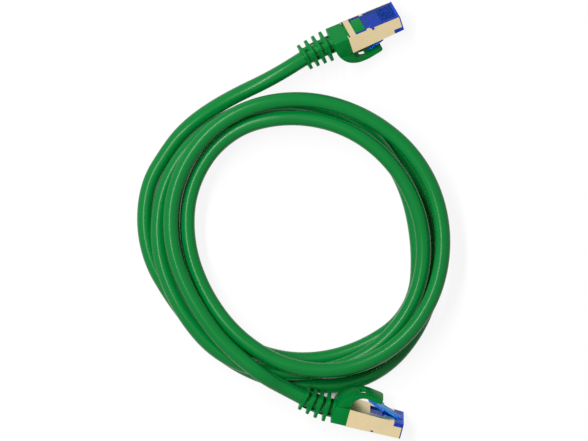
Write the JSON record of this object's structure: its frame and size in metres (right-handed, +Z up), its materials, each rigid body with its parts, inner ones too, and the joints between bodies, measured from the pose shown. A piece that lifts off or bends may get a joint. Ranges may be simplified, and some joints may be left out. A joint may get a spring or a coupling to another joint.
{
  "type": "ethernet patch cable",
  "caption": "Round shielded patch cord in four loose loops, with a latched eight-contact modular plug, ribbed snagless boot and latch cover at each end.",
  "frame": {"origin": "on the table, midway between the two plugs (bottom centre of the box round both plugs)", "axes": "+Z up from the table, +Y from plug b to plug a, +X towards the plugs' noses"},
  "size_m": [0.1221, 0.1678, 0.0191],
  "materials": {
    "jacket_green": "glossy PVC jacket",
    "boot_green": "satin moulded soft PVC",
    "clear_blue": "clear tinted polycarbonate",
    "gold_sheet": "plated sheet, satin",
    "gold_contact": "plated, bright",
    "clear_bar": "clear polycarbonate",
    "copper": "bare copper",
    "foil": "thin foil",
    "braid": "tinned copper braid",
    "insulation_orange": "polyethylene",
    "insulation_green": "polyethylene",
    "insulation_blue": "polyethylene",
    "insulation_brown": "polyethylene"
  },
  "bodies": {
    "root": {"cord_coil": "jacket_green", "cord_lead_a": "jacket_green", "cord_lead_b": "jacket_green", "wires_orange_a": "insulation_orange", "wires_green_a": "insulation_green", "wires_blue_a": "insulation_blue", "wires_brown_a": "insulation_brown", "housing_a": "clear_blue", "shield_a": "gold_sheet", "contacts_a": "gold_contact", "load_bar_a": "clear_bar", "wire_cores_a": "copper", "pair_foils_a": "foil", "braid_a": "braid", "boot_a": "boot_green", "wires_orange_b": "insulation_orange", "wires_green_b": "insulation_green", "wires_blue_b": "insulation_blue", "wires_brown_b": "insulation_brown", "housing_b": "clear_blue", "shield_b": "gold_sheet", "contacts_b": "gold_contact", "load_bar_b": "clear_bar", "wire_cores_b": "copper", "pair_foils_b": "foil", "braid_b": "braid", "boot_b": "boot_green"},
    "cover_a": {"latch_cover_a": "boot_green"},
    "lever_a": {"latch_a": "clear_blue"},
    "cover_b": {"latch_cover_b": "boot_green"},
    "lever_b": {"latch_b": "clear_blue"}
  },
  "joints": [
    {"name": "cover_hinge_a", "type": "hinge", "parent": "root", "child": "cover_a", "pos_m": [-0.00307, 0.0659, 0.00772], "axis": [0.2911, -0.5363, 0.7922], "range_deg": [0, 10], "stiffness_Nm_per_rad": 0.05},
    {"name": "latch_hinge_a", "type": "hinge", "parent": "root", "child": "lever_a", "pos_m": [0.01782, 0.07585, 0.00677], "axis": [-0.2911, 0.5363, -0.7922], "range_deg": [0, 7], "stiffness_Nm_per_rad": 0.03},
    {"name": "cover_hinge_b", "type": "hinge", "parent": "root", "child": "cover_b", "pos_m": [-0.0027, -0.0695, 0.01043], "axis": [0.0083, 0.3988, -0.917], "range_deg": [0, 10], "stiffness_Nm_per_rad": 0.05},
    {"name": "latch_hinge_b", "type": "hinge", "parent": "root", "child": "lever_b", "pos_m": [0.01936, -0.07602, 0.00779], "axis": [-0.0083, -0.3988, 0.917], "range_deg": [0, 7], "stiffness_Nm_per_rad": 0.03}
  ],
  "couplings": [
    {"joint": "latch_hinge_a", "follows": "cover_hinge_a", "ratio": 0.7},
    {"joint": "latch_hinge_b", "follows": "cover_hinge_b", "ratio": 0.7}
  ]
}
